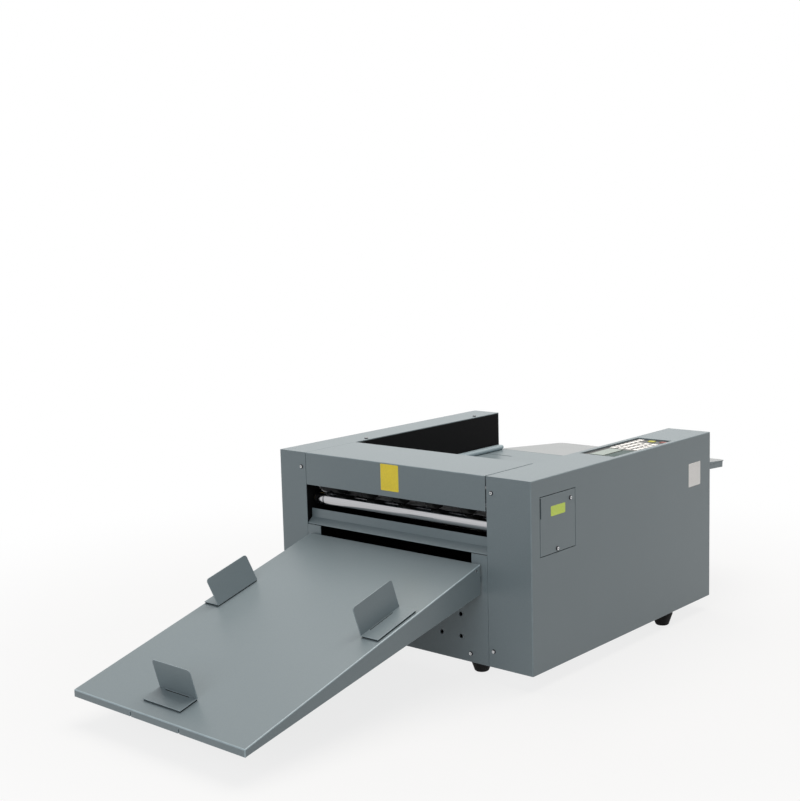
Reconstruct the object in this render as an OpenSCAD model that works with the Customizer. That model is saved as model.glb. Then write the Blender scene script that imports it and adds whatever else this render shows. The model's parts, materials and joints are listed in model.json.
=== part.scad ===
// Desktop creasing and perforating machine: sheets enter over the feed deck at the
// back, pass under the feed wheels, are creased by a cam-driven blade, perforated by a
// toothed wheel and drop from the mouth onto the sloping delivery tray.
// Working frame: X to the right, Y to the back with 0 at the body's front, Z up with 0
// at the body's underside. place() moves it so that the origin is under the middle.

/* [Body] */
// Width over both housings
body_w = 500; // [470:1:540]
// Depth of the housings
body_d = 516; // [480:1:560]
// Height of the housings
body_h = 281; // [272:1:320]
// Width of the left housing
left_w = 58; // [50:1:70]
// Width of the right housing
right_w = 78; // [72:1:90]
// Cover sheet thickness
sheet = 1.5; // [1:0.1:2]
// Side frame plate thickness
frame_t = 4; // [3:0.5:6]
// Inner panel thickness
trim_t = 1.5; // [1:0.1:2]
// Base plate thickness
base_t = 2; // [1.5:0.5:4]
// Height of the rubber feet
foot_h = 24; // [16:1:30]
// Top radius of a rubber foot
foot_r = 17; // [14:0.5:18]
// Bottom radius of a rubber foot
foot_low_r = 11; // [8:0.5:14]

/* [Front] */
// Depth of the front cover
cover_d = 118; // [112:1:130]
// Height of the front cover's face
cover_drop = 52; // [46:1:58]
// Gap left of the front cover
cover_seam = 0.8; // [0.6:0.1:2]
// Gap right of the front cover
cover_gap = 2; // [0.6:0.1:3]
// Depth of the cover's lower lip
cover_lip = 5; // [3:0.5:6]
// Height of the lower front panel
panel_h = 164; // [156:1:170]
// Depth of the notch in the panel's top edge
notch_d = 26; // [20:1:30]
// Width of the tab beside the notch
tab_w = 29; // [20:1:40]
// Accessory hole radius
acc_r = 3.2; // [2:0.1:4]
// Accessory hole spacing across
acc_dx = 36.6; // [25:0.1:45]
// Accessory hole spacing in height
acc_dz = 33.6; // [25:0.1:40]
// Accessory pattern's middle, in from the panel's side
acc_in = 69.5; // [50:0.5:90]
// Accessory pattern's middle, up from the body's underside
acc_up = 52.8; // [40:0.2:60]

/* [Sheet path] */
// Height of the sheet path
path_z = 215; // [211:0.5:217]
// Gap between a wheel and what it runs against
nip = 0.4; // [0.3:0.05:0.6]
// Exit wheel radius
wheel_r = 20; // [18:0.5:21]
// Exit wheel width
wheel_w = 14; // [8:1:20]
// Distance between exit wheels
wheel_pitch = 65.5; // [50:0.5:70]
// Number of exit wheels
wheel_n = 5; // [3:1:5]
// Exit rollers' distance behind the front
exit_y = 27; // [26:0.5:30]
// Driven roller radius
roller_r = 12; // [10:0.5:12]
// Transport rollers' distance behind the front
trans_y = 95; // [93:0.5:97]
// Pinch roller radius
pinch_r = 10; // [8:0.5:10.5]
// Shaft radius
shaft_r = 5; // [4:0.25:6]
// Running clearance of shafts and pins
run = 0.05; // [0.02:0.01:0.1]
// Bush radius
bush_r = 8; // [7:0.5:9]
// Perforating wheel radius
perf_r = 21; // [20.8:0.1:22]
// Teeth on the perforating wheel
perf_n = 48; // [24:4:72]

/* [Crease unit] */
// Crease line's distance behind the front
crease_y = 63; // [62:0.5:65]
// Knife bar depth
bar_d = 16; // [12:1:18]
// Knife bar height
bar_h = 22; // [18:1:24]
// Blade thickness
blade_t = 0.8; // [0.5:0.1:1]
// Blade height below the bar
blade_h = 9; // [8:0.5:10]
// Blade's height over the sheet at rest
blade_up = 1.8; // [1.5:0.1:2.5]
// Downward stroke of the blade
stroke = 3.4; // [3:0.1:3.6]
// Cam turn that makes the whole stroke
cam_turn = 150; // [120:5:160]
// Cam base radius
cam_r = 9; // [8:0.5:10]
// Cam width
cam_w = 10; // [6:1:14]
// Width of the groove in the crease die
groove_w = 2; // [1.8:0.1:3]

/* [Feed side] */
// Height of the feed deck's top
deck_z = 212; // [208:0.5:214]
// Feed wheels' distance behind the front
feed_y = 152; // [150:1:160]
// Feed wheel radius
feed_r = 17; // [15:0.5:20]
// Feed wheel width
feed_w = 20; // [12:1:30]
// Length of the sloping feed table
table_len = 210; // [150:1:260]
// Slope of the feed table
table_slope = 5; // [0:0.5:8]
// Depth of the feed table's side flanges at the machine
table_flange = 17; // [12:1:20]
// Depth of the feed table's flange at its far end
table_end = 12; // [6:1:12]
// Side guide width
guide_w = 15; // [12:1:25]
// Side guide height over the deck
guide_h = 9; // [6:0.5:10]
// Side guide travel
guide_travel = 60; // [30:5:60]

/* [Delivery tray] */
// Tray width
tray_w = 344; // [320:1:350]
// Tray length along its slope
tray_len = 479.5; // [400:0.5:520]
// Tray slope
tray_slope = 15.4; // [12:0.2:16]
// Height of the tray's top at the machine
tray_z = 151; // [146:0.5:153]
// Tray's gap to the front panel
tray_gap = 3.5; // [3.5:0.1:5]
// Side skirt depth at the machine
skirt_in = 44; // [36:1:50]
// Side skirt depth at the front
skirt_out = 10; // [8:1:16]
// Tray pivot's distance in front of the panel
pivot_y = 12; // [11.5:0.5:13]
// Tray pivot's depth under the tray's top
pivot_drop = 5.5; // [5:0.25:6]
// Tray pivot pin radius
pivot_r = 2.5; // [2:0.25:3]
// Length of the end stop
stop_len = 76; // [60:1:90]
// Height of the end stop
stop_h = 43; // [30:1:55]
// Length of a tray guide
tray_guide_len = 82; // [60:1:90]
// Height of a tray guide
tray_guide_h = 43; // [30:1:55]
// Depth of a stop's foot
stop_foot = 30; // [22:1:36]
// Radius of a stop's top corners
stop_corner = 5; // [2:0.5:10]
// Length of the slot along a stop's fold
slot_len = 49; // [30:1:56]
// End stop's distance from the tray's front
end_stop_at = 52; // [45:1:80]
// Right guide's distance from the tray's front
right_guide_at = 255; // [200:1:300]
// Right guide's upright, in from the tray's edge
right_guide_in = 35; // [34:0.5:60]
// Left guide's distance from the tray's front
left_guide_at = 244; // [200:1:300]
// Left guide's upright, in from the tray's edge
left_guide_in = 31.5; // [31.5:0.5:60]
// Outward lean of the left guide
left_guide_lean = 16; // [0:1:20]
// Inward lean of the right guide
right_guide_lean = 5; // [0:1:8]

/* [Right side] */
// Access door length
door_len = 87.5; // [70:0.5:95]
// Access door height
door_h = 85; // [70:1:95]
// Access door's front edge
door_y = 22; // [18:0.5:30]
// Access door's lower edge
door_z = 169; // [160:1:175]
// Seam round the access door
door_seam = 1; // [0.8:0.1:1.5]
// Control panel width
ctl_w = 62; // [56:1:64]
// Control panel length
ctl_len = 174; // [160:1:190]
// Control panel's front edge
ctl_y = 228; // [200:1:260]
// Depth of the control panel's recess
ctl_sink = 2.5; // [2:0.5:6]

/* [Hidden] */
$fn = 48;

// Clearances and small sizes used in many places
air = 0.5;
eps = 0.1;
seam = 0.5;
hole_air = 0.1;
screw_r = 1.5;
screw_head_r = 3.2;
screw_head_h = 1.8;
screw_rim_h = 0.7;
screw_crown_r = 2.2;
recess_len = 3.6;
recess_w = 0.7;
recess_h = 0.9;
screw_len = 6;

// Mouth between the housings, and the plates on each side of it
mouth_l = -body_w / 2 + left_w;
mouth_r = body_w / 2 - right_w;
mid_x = (mouth_l + mouth_r) / 2;
frame_l1 = mouth_l - trim_t;
frame_l0 = frame_l1 - frame_t;
frame_r0 = mouth_r + trim_t;
frame_r1 = frame_r0 + frame_t;
top_in = body_h - sheet;
side_in = body_w / 2 - sheet;
back_in = body_d - sheet;
cover_z = body_h - cover_drop;

// Shaft heights
wheel_z = path_z + nip / 2 + wheel_r;
roller_z = path_z - nip / 2 - roller_r;
pinch_z = path_z + nip / 2 + pinch_r;
bar_z = path_z + blade_up + blade_h;
cam_z = bar_z + bar_h + nip + cam_r;
cam_rise = stroke / cam_turn;
feed_z = deck_z + nip + feed_r;
SHAFTS = [[exit_y, wheel_z], [exit_y, roller_z], [trans_y, roller_z], [trans_y, pinch_z],
    [crease_y, cam_z], [feed_y, feed_z]];
shaft_play = 0.6;
bush_flange = 1.5;

// Knife bar guide and crease die
tongue_step = 4;
tongue_d = bar_d - tongue_step;
bar_end = 1;
die_air = 1.2;
die_top = path_z - die_air;
die_h = 20;
die_d = 22;
groove_h = 1.8;
spring_in = 7;

// Exit gears: the pair turns at the ratio of the radii that they drive
gear_n1 = 18;
gear_n2 = round(gear_n1 * wheel_r / roller_r);
gear_mod = 2 * (wheel_z - roller_z) / (gear_n1 + gear_n2);
gear_w = 8;
gear_dedendum = 1.15;
gear_addendum = 0.85;
// Half of a tooth's share of the pitch at its root and at its tip
gear_root = 0.3;
gear_tip = 0.1;
gear_air = 2;
gear_off = bush_flange + gear_air;

// Pulleys, belt and motors
pulley_r = 9;
pulley_w = 9;
pulley_flange = 1;
belt_t = 1.6;
belt_air = 0.3;
belt_side = 2;
belt_off = bush_flange + belt_side;
drive_back = 32;
drive_y = exit_y + drive_back;
drive_drop = 75;
drive_z = roller_z - drive_drop;
motor_w = 57;
motor_len = 54;
motor_cap = 6;
motor_step = 1;
step_w = 40;
step_len = 34;
step_grip = 16;

// Cover hinge
hinge_r = 3;
hinge_in = 5;
hinge_y = cover_d - hinge_in;
hinge_drop = 6;
hinge_z = body_h - hinge_drop;

// Inner panels and feed gate
trim_gap = 2;
trim_y = cover_d + trim_gap;
gate_back = 6;
gate_y = cover_d + gate_back;
gate_gap = 3;
gate_h = 52;
gate_top = deck_z + gate_h;
pad_w = 40;
pad_d = 30;
pad_t = 6;
deck_gap = 3;
deck_y = trans_y + roller_r + deck_gap;
table_in = 1;
table_corner = 12;
guide_front_gap = 18;
guide_y0 = feed_y + feed_r + guide_front_gap;
guide_rear_in = 6;
guide_y1 = body_d - guide_rear_in;
guide_lift = 0.3;
guide_tongue = 4;
guide_fin = 2;
guide_fin_low = 4.5;
guide_slot = guide_fin + 2 * air;

// Delivery tray in the working frame
tray_y1 = -tray_gap - tray_len * cos(tray_slope);
tray_z1 = tray_z - tray_len * sin(tray_slope);
tray_drop = sheet / cos(tray_slope);
lip_z = tray_z1 - skirt_out;
pivot_z = tray_z - (pivot_y - tray_gap) * tan(tray_slope) - pivot_drop;
bracket_t = 3;
bracket_r = 3.3;
bracket_x = tray_w / 2 - sheet - air - bracket_t;
bracket_drop = 20;
bracket_low = pivot_z - bracket_drop;
bracket_step = 9;
stop_lift = 0.3;
magnet_t = 1.6;
magnet_in = 0.6;
stop_t = 1.2;
slot_w = 2.2;
slot_in = 0.4;

// Open slots in the tray's front lip
lip_slot_x = 48.5;
lip_slot_w = 2.6;
lip_slot_h = 6;

// Access door hinge
pin_in = 3;
pin_back = 8;
pin_r = 1;
knuckle_r = 2;
knuckle_h = 12;
finger_w = 2.6;
finger_h = 31;

// Control panel, centred on the right housing's top
ctl_x = (mouth_r + body_w / 2) / 2;
ctl_z = body_h - ctl_sink;
ctl_rim = 2;
ctl_t = 3;
disp_w = 24;
disp_len = 58;
disp_off = 8;
key_w = 10;
key_d = 9;
key_up = 0.8;
key_step = 13.5;
key_rows = 5;
key_cols = 4;
key_extra = 2;
disp_in = 12;
disp_y = ctl_y + disp_in;
key_gap = 8;
key_y = disp_y + disp_len + key_gap;
button_w = 11;
button_d = 8;
button_apart = 5;
button_in = 12;
button_off = 12;
button_y = ctl_y + ctl_len - button_in;
button_up = 1.2;

// Place of the rear power inlet and its switch
inlet_z = 60;
inlet_w = 28;
inlet_h = 48;
inlet_t = 2;
inlet_rim = 2;
inlet_top = 4;
inlet_shell = [24, 22, 20];
inlet_bore = [20, 18, 14];
pivot_cheek_t = 2;
pivot_cheek_in = 8;
pivot_cheek_h = 10;
switch_w = 14;
switch_h = 20;
switch_up = 24;
switch_z = inlet_z + inlet_h / 2 + switch_up;
switch_tilt = 10;

// Feet
foot_front_in = 119.5;
foot_front_y = 36;
foot_rear_in = 20;
foot_rear_back = 124;
foot_front = [body_w / 2 - foot_front_in, foot_front_y];
foot_rear = [body_w / 2 - foot_rear_in, body_d - foot_rear_back];
foot_edge = 1.5;
foot_flare = 5;

// Middle of the whole object along Y
table_y1 = body_d + table_len * cos(table_slope);
mid_y = (tray_y1 + table_y1) / 2;

// Screw places: front faces as [x, z], housing tops as [x, y], sides as [y, z]
screw_in = 9;
screw_low = 24;
screw_high = body_h - screw_low;
top_screw_gap = 37;
top_screw_y0 = cover_d + top_screw_gap;
top_screw_back = 63;
top_screw_y1 = body_d - top_screw_back;
left_screw_in = 30;
panel_screw_in = 33;
panel_screw_z = 13;
door_screw_y0 = 41;
door_screw_y1 = 75;
door_screw_low = 5;
door_screw_high = 12;
FRONT_SCREWS = [for (x = [mouth_l - screw_in, mouth_r + screw_in], z = [screw_low, screw_high]) [x, z]];
PANEL_SCREWS = [for (x = [mouth_l + panel_screw_in, mouth_r - panel_screw_in]) [x, panel_screw_z]];
TOP_SCREWS = [for (y = [top_screw_y0, top_screw_y1]) [mouth_l - screw_in, y]];
DOOR_SCREWS = [[door_y + door_screw_y0, door_z + door_screw_low],
    [door_y + door_screw_y1, door_z + door_h - door_screw_high]];
LEFT_SCREWS = [for (y = [left_screw_in, body_d - left_screw_in], z = [screw_low, screw_high]) [y, z]];

// Sizes of single pieces
tongue_up = 2;
tongue_z0 = bar_z + tongue_up;
tongue_down = 6;
tongue_z1 = bar_z + bar_h - tongue_down;
blade_in = 15;
blade_grip = 5;
seat_air = 0.3;
wire_r = 0.6;
spring_r = 4;
spring_turns = 4;
spring_ring_n = 8;
spring_sides = 6;
spring_rise = (bar_z - die_top - 2 * seat_air - 2 * wire_r) / spring_turns;
cam_in = 30;
cam_spare = 15;
cam_top = cam_turn + cam_spare;
cam_step = 5;
panel_return = 14;
vent_n = 4;
vent_step = 16;
vent_w = 5;
vent_h = 26;
vent_low = 70;
vent_high = 110;
table_hook = 20;
table_hook_h = 51;
gate_lip = 8;
rim_cut = 1;
shaft_over = 2;
step_off = bush_flange + air;
cam_motor_off = gear_off + gear_w + shaft_play + air;
pillar_r = 3;
feed_pitch = 70;
chute_gap = 2;
chute_y = exit_y - roller_r - chute_gap;
chute_rise = 8;
chute_drop = 3;
chute_top = roller_z - roller_r - chute_drop;
perf_off = 22;
perf_x = mid_x - (wheel_n - 1) / 2 * wheel_pitch - wheel_w / 2 - perf_off;
perf_t = 1;
perf_cut = 1.4;
// Where a tooth's land ends and its gap starts and ends, as shares of the pitch
perf_land = 0.5;
perf_gap0 = 0.6;
perf_gap1 = 0.9;
perf_hub_w = 10;
perf_hub_r = 10;
perf_groove = 3;
roller_end = 3;
cheek_h = 15;
pin_over = 4;
lip_d = 6;
tab_h = 6;
pin_reach = bracket_t / 2 + air + sheet - hole_air;
end_stop_x = -10;
board_off = 8;
board_y = 220;
board_len = 150;
board_z = 70;
board_h = 110;
post_in = 10;
chip_n = 4;
chip_t = 10;
chip_w = 20;
chip_h = 45;
chip_in = 22;
chip_step = (board_len - 2 * chip_in - chip_w) / (chip_n - 1);
supply_w = 110;
supply_y = 300;
supply_d = 150;
supply_h = 52;
switch_in = 3;
switch_pin = 1.5;
switch_r = 9.5;
switch_face = 6;
pivot_cheek_x = switch_w / 2 + 2;
pivot_len = 2 * pivot_cheek_x + pivot_cheek_t;
door_axis_x = body_w / 2 - pin_in;
door_axis_y = door_y + door_len - pin_back;
guide_tongue_in = 50;
GUIDE_TONGUES = [guide_y0 + guide_tongue_in, guide_y1 - guide_tongue_in];

// Middle of the side guide on side s, and of the push button on side s
function guide_mid(s) = s < 0 ? mouth_l + air + guide_w / 2 : mouth_r - air - guide_w / 2;
function button_mid(s) = ctl_x + button_off + s * (button_w / 2 + button_apart);

module place() {
    translate([0, -mid_y, foot_h]) children();
}

module block(x0, x1, y0, y1, z0, z1) {
    translate([x0, y0, z0]) cube([x1 - x0, y1 - y0, z1 - z0]);
}

module rod_x(x0, x1, y, z, r) {
    translate([x0, y, z]) rotate([0, 90, 0]) cylinder(r = r, h = x1 - x0);
}

module rod_y(x, y0, y1, z, r) {
    translate([x, y0, z]) rotate([-90, 0, 0]) cylinder(r = r, h = y1 - y0);
}

module rod_z(x, y, z0, z1, r) {
    translate([x, y, z0]) cylinder(r = r, h = z1 - z0);
}

// Shape drawn in Y and Z, pulled along X from x0 to x1
module along_x(x0, x1) {
    translate([x0, 0, 0]) rotate([90, 0, 90]) linear_extrude(x1 - x0) children();
}

// Flat outline with its two far corners rounded
module far_rounded(w, len, r) {
    translate([-w / 2, 0]) square([w, len - r]);
    translate([-w / 2 + r, 0]) square([w - 2 * r, len]);
    for (s = [-1, 1]) translate([s * (w / 2 - r), len - r]) circle(r);
}

// Pan-head screw along +Z, its head seated on the XY plane
module pan_screw() {
    difference() {
        union() {
            cylinder(r = screw_head_r, h = screw_rim_h);
            translate([0, 0, screw_rim_h])
                cylinder(r1 = screw_head_r, r2 = screw_crown_r, h = screw_head_h - screw_rim_h);
            translate([0, 0, -screw_len]) cylinder(r = screw_r, h = screw_len + eps);
        }
        for (a = [0, 90]) rotate(a) translate([-recess_len / 2, -recess_w / 2, screw_head_h - recess_h])
            cube([recess_len, recess_w, screw_head_h]);
    }
}

// Places things at the screw positions, +Z pointing out of the face
module at_front(list, y = 0) {
    for (p = list) translate([p[0], y, p[1]]) rotate([90, 0, 0]) children();
}

module at_top(list) {
    for (p = list) translate([p[0], p[1], body_h]) children();
}

module at_side(list, s) {
    for (p = list) translate([s * body_w / 2, p[0], p[1]]) rotate([0, s * 90, 0]) children();
}

module screw_hole() {
    translate([0, 0, -screw_len]) cylinder(r = screw_r + hole_air, h = 2 * screw_len);
}

// Spur gear in the XY plane with straight-sided teeth; turn shifts it by part of a pitch
module spur_gear(n, turn) {
    pitch_r = n * gear_mod / 2;
    root_r = pitch_r - gear_dedendum * gear_mod;
    tip_r = pitch_r + gear_addendum * gear_mod;
    step = 360 / n;
    tooth = [[root_r, -gear_root], [tip_r, -gear_tip], [tip_r, gear_tip], [root_r, gear_root]];
    points = [for (i = [0 : n - 1], c = tooth)
        [c[0] * cos((i + turn + c[1]) * step), c[0] * sin((i + turn + c[1]) * step)]];
    polygon(points);
}

// Belt pulley along X between two flanges, with its bore
module pulley(x0, y, z) {
    difference() {
        union() {
            rod_x(x0, x0 + pulley_w, y, z, pulley_r);
            for (x = [x0, x0 + pulley_w - pulley_flange])
                rod_x(x, x + pulley_flange, y, z, pulley_r + belt_t);
        }
        rod_x(x0 - eps, x0 + pulley_w + eps, y, z, shaft_r);
    }
}

// Square motor body between two end caps; its shaft bore runs along X
module motor(x0, x1, y, z, w, bore_r) {
    core = w / 2 - motor_step;
    difference() {
        union() {
            block(x0 + motor_cap, x1 - motor_cap, y - core, y + core, z - core, z + core);
            for (x = [x0, x1 - motor_cap])
                block(x, x + motor_cap, y - w / 2, y + w / 2, z - w / 2, z + w / 2);
        }
        rod_x(x0 - eps, x1 + eps, y, z, bore_r);
    }
}

// Frame and casing

module base_plate() {
    color("dimgray") place() block(-side_in, side_in, sheet, back_in, 0, base_t);
}

module side_frame(x0) {
    difference() {
        block(x0, x0 + frame_t, sheet, back_in, base_t, top_in);
        for (p = SHAFTS) rod_x(x0 - eps, x0 + frame_t + eps, p[0], p[1], bush_r);
        rod_x(x0 - eps, x0 + frame_t + eps, hinge_y, hinge_z, hinge_r + run);
        block(x0 - eps, x0 + frame_t + eps, crease_y - tongue_d / 2 - run, crease_y + tongue_d / 2 + run,
            tongue_z0 - stroke - air, tongue_z1 + air);
        rod_x(x0 - eps, x0 + frame_t + eps, drive_y, drive_z, bush_r);
    }
}

module left_side_frame() {
    color("silver") place() side_frame(frame_l0);
}

module right_side_frame() {
    color("silver") place() side_frame(frame_r0);
}

// Folded casing, open underneath and towards the sheet path; s is the side, -1 or 1
module casing(s, x_in) {
    difference() {
        block(min(s * body_w / 2, x_in), max(s * body_w / 2, x_in), 0, body_d, 0, body_h);
        block(min(s * side_in, x_in + s * -eps), max(s * side_in, x_in + s * -eps), sheet, back_in,
            -eps, top_in);
        at_front(FRONT_SCREWS) screw_hole();
        at_top(TOP_SCREWS) screw_hole();
    }
}

module left_housing() {
    color("slategray") place() difference() {
        casing(-1, mouth_l);
        at_side(LEFT_SCREWS, -1) screw_hole();
    }
}

module right_housing() {
    color("slategray") place() difference() {
        casing(1, mouth_r);
        block(side_in - eps, body_w / 2 + eps, door_y - door_seam, door_y + door_len + door_seam,
            door_z - door_seam, door_z + door_h + door_seam);
        block(ctl_x - ctl_w / 2, ctl_x + ctl_w / 2, ctl_y, ctl_y + ctl_len, top_in - eps, body_h + eps);
        block(ctl_x - inlet_w / 2 + inlet_rim, ctl_x + inlet_w / 2 - inlet_rim, back_in - eps, body_d + eps,
            inlet_z - inlet_h / 2 + inlet_rim, switch_z + switch_h / 2 + inlet_rim);
    }
}

module inner_panel(x0) {
    difference() {
        block(x0, x0 + trim_t, trim_y, back_in, deck_z, top_in);
        rod_x(x0 - eps, x0 + trim_t + eps, feed_y, feed_z, shaft_r + air);
    }
}

module inner_panels() {
    color([0.06, 0.06, 0.06]) place() {
        inner_panel(frame_l1);
        inner_panel(mouth_r);
    }
}

// Accessory holes stand in a rectangle on each side of the lower front panel
module accessory_holes() {
    for (s = [-1, 1], i = [-1, 1], k = [-1, 1])
        rod_y(mid_x + s * ((mouth_r - mouth_l) / 2 - acc_in) + i * acc_dx / 2, -eps, sheet + eps,
            acc_up + k * acc_dz / 2, acc_r);
}

module lower_front_panel() {
    color("slategray") place() difference() {
        union() {
            block(mouth_l + seam, mouth_r - seam, 0, sheet, 0, panel_h);
            for (x = [mouth_l + seam, mouth_r - seam - sheet])
                block(x, x + sheet, sheet - eps, panel_return, base_t, panel_h);
        }
        block(mouth_l + tab_w, mouth_r - tab_w, -eps, sheet + eps, panel_h - notch_d, panel_h + eps);
        accessory_holes();
        at_front(PANEL_SCREWS) screw_hole();
    }
}

module rear_panel() {
    color("slategray") place() difference() {
        block(mouth_l, mouth_r, back_in, body_d, 0, deck_z);
        for (i = [-vent_n : vent_n], z = [vent_low, vent_high])
            block(mid_x + i * vent_step - vent_w / 2, mid_x + i * vent_step + vent_w / 2, back_in - eps,
                body_d + eps, z, z + vent_h);
    }
}

// Feed side

module guide_slots(s) {
    x = guide_mid(s);
    for (y = GUIDE_TONGUES)
        block(min(x, x - s * guide_travel) - guide_tongue / 2 - air,
            max(x, x - s * guide_travel) + guide_tongue / 2 + air,
            y - guide_slot / 2, y + guide_slot / 2, deck_z - sheet - eps, deck_z + eps);
}

module feed_deck() {
    color("lightgray") place() difference() {
        block(frame_l1, frame_r0, deck_y, back_in, deck_z - sheet, deck_z);
        block(mid_x - pad_w / 2, mid_x + pad_w / 2, feed_y - pad_d / 2, feed_y + pad_d / 2,
            deck_z - sheet - eps, deck_z + eps);
        guide_slots(-1);
        guide_slots(1);
    }
}

module feed_table() {
    w = mouth_r - mouth_l - 2 * table_in;
    start = table_flange * sin(table_slope) + air;
    color("lightgray") place() {
        translate([mid_x, body_d, deck_z]) rotate([-table_slope, 0, 0]) {
            translate([0, start, -sheet]) linear_extrude(sheet)
                far_rounded(w, table_len - start, table_corner);
            for (x = [-w / 2, w / 2 - sheet]) along_x(x, x + sheet)
                polygon([[start, -sheet / 2], [start, -table_flange], [table_len - table_corner, -table_end],
                    [table_len - table_corner, -sheet / 2]]);
            block(-w / 2 + table_corner, w / 2 - table_corner, table_len - sheet, table_len,
                -table_end, -sheet / 2);
        }
        block(mid_x - w / 2 + table_hook, mid_x + w / 2 - table_hook, body_d, body_d + 2 * sheet,
            deck_z - table_hook_h, deck_z - sheet - start * sin(table_slope));
    }
}

module side_guide(s) {
    x = guide_mid(s);
    y0 = guide_y0;
    block(x - guide_w / 2, x + guide_w / 2, y0, guide_y1, deck_z + guide_lift, deck_z + guide_h);
    for (y = GUIDE_TONGUES)
        block(x - guide_tongue / 2, x + guide_tongue / 2, y - guide_fin / 2, y + guide_fin / 2,
            deck_z - guide_fin_low, deck_z + guide_h / 2);
}

module left_side_guide() {
    color("lightgray") place() side_guide(-1);
}

module right_side_guide() {
    color("lightgray") place() side_guide(1);
}

module feed_gate() {
    color("dimgray") place() {
        block(mouth_l, mouth_r, gate_y, gate_y + sheet, deck_z + gate_gap, gate_top);
        block(mouth_l, mouth_r, gate_y, gate_y + gate_lip, gate_top - sheet, gate_top);
    }
}

module separator_pad() {
    color([0.3, 0.12, 0.1]) place()
        block(mid_x - pad_w / 2, mid_x + pad_w / 2, feed_y - pad_d / 2, feed_y + pad_d / 2,
            deck_z - pad_t, deck_z);
}

// Wheel along X with chamfered rims and a bore for its shaft
module tyre(x, y, z, r, w) {
    translate([x - w / 2, y, z]) rotate([0, 90, 0]) rotate_extrude()
        polygon([[shaft_r, 0], [r - rim_cut, 0], [r, rim_cut], [r, w - rim_cut], [r - rim_cut, w],
            [shaft_r, w]]);
}

module feed_shaft() {
    color("silver") place()
        rod_x(frame_l0 - shaft_over, frame_r1 + step_off + step_grip, feed_y, feed_z, shaft_r);
}

module feed_wheels() {
    color([0.1, 0.1, 0.1]) place()
        for (k = [-1, 0, 1]) tyre(mid_x + k * feed_pitch, feed_y, feed_z, feed_r, feed_w);
}

module feed_motor() {
    color("dimgray") place()
        motor(frame_r1 + step_off, frame_r1 + step_off + step_len, feed_y, feed_z, step_w, shaft_r + run);
}

// Crease unit

module exit_chute() {
    y0 = sheet + air;
    z0 = panel_h + sheet + air;
    color("gray") place() along_x(frame_l1, frame_r0)
        polygon([[y0, z0], [chute_y, z0 + chute_rise], [chute_y, chute_top], [chute_y + sheet, chute_top],
            [chute_y + sheet, z0 + chute_rise - sheet], [y0, z0 - sheet]]);
}

module crease_die() {
    color("silver") place() difference() {
        block(frame_l1, frame_r0, crease_y - die_d / 2, crease_y + die_d / 2, die_top - die_h, die_top);
        block(frame_l1 - eps, frame_r0 + eps, crease_y - groove_w / 2, crease_y + groove_w / 2,
            die_top - groove_h, die_top + eps);
    }
}

module crease_knife_bar() {
    color("gainsboro") place() difference() {
        union() {
            block(frame_l1 + bar_end, frame_r0 - bar_end, crease_y - bar_d / 2, crease_y + bar_d / 2,
                bar_z, bar_z + bar_h);
            block(frame_l0 + bar_end, frame_r1 - bar_end, crease_y - tongue_d / 2, crease_y + tongue_d / 2,
                tongue_z0, tongue_z1);
        }
        block(mouth_l + blade_in, mouth_r - blade_in, crease_y - blade_t / 2, crease_y + blade_t / 2,
            bar_z - eps, bar_z + blade_grip);
    }
}

module crease_blade() {
    color("whitesmoke") place()
        block(mouth_l + blade_in, mouth_r - blade_in, crease_y - blade_t / 2, crease_y + blade_t / 2,
            bar_z - blade_h, bar_z + blade_grip);
}

// Points of one ring of the spring's wire, square to its path
function spring_ring(i) =
    let (a = 360 * i / spring_ring_n, z = spring_rise * i / spring_ring_n)
    [for (k = [0 : spring_sides - 1])
        let (b = 360 * k / spring_sides, r = spring_r + wire_r * cos(b))
        [r * cos(a), r * sin(a), z + wire_r * sin(b)]];

// One coil spring: rings of wire points along a helix, closed by its two end faces
module coil_spring() {
    rings = spring_turns * spring_ring_n;
    points = [for (i = [0 : rings], p = spring_ring(i)) p];
    sides = [for (i = [0 : rings - 1], k = [0 : spring_sides - 1])
        let (a = i * spring_sides + k, b = i * spring_sides + (k + 1) % spring_sides)
        each [[a, b, a + spring_sides], [b, b + spring_sides, a + spring_sides]]];
    first = [for (k = [1 : spring_sides - 2]) [0, k + 1, k]];
    end = rings * spring_sides;
    last = [for (k = [1 : spring_sides - 2]) [end, end + k, end + k + 1]];
    polyhedron(points, concat(sides, first, last));
}

module return_springs() {
    color("silver") place()
        for (x = [mouth_l + spring_in, mouth_r - spring_in])
            translate([x, crease_y, die_top + seat_air + wire_r]) coil_spring();
}

module cam_shaft() {
    color("silver") place()
        rod_x(frame_l0 - cam_motor_off - step_grip, frame_r1 + shaft_over, crease_y, cam_z, shaft_r);
}

// Radius of the cam at an angle: it grows evenly over the stroke and falls back after it
function cam_radius(a) = a <= cam_top ? cam_r + cam_rise * a
    : cam_r + cam_rise * cam_top * (360 - a) / (360 - cam_top);

module cams() {
    color("goldenrod") place()
        for (x = [mouth_l + cam_in, mouth_r - cam_in - cam_w]) difference() {
            translate([0, crease_y, cam_z]) along_x(x, x + cam_w)
                polygon([for (a = [0 : cam_step : 360 - cam_step])
                    cam_radius(a) * [cos(-90 - a), sin(-90 - a)]]);
            rod_x(x - eps, x + cam_w + eps, crease_y, cam_z, shaft_r);
        }
}

// Stands off the frame on three pillars, outside the exit gears
module crease_motor() {
    x1 = frame_l0 - cam_motor_off;
    p = step_w / 2 - pillar_r - 1;
    color("dimgray") place() {
        motor(x1 - step_len, x1, crease_y, cam_z, step_w, shaft_r + run);
        for (c = [[-p, p], [p, p], [p, -p]]) rod_x(x1, frame_l0, crease_y + c[0], cam_z + c[1], pillar_r);
    }
}

// Rollers and their drive

module exit_shaft() {
    color("silver") place()
        rod_x(frame_l0 - gear_off - gear_w - shaft_play, frame_r1 + shaft_over, exit_y, wheel_z, shaft_r);
}

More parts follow.
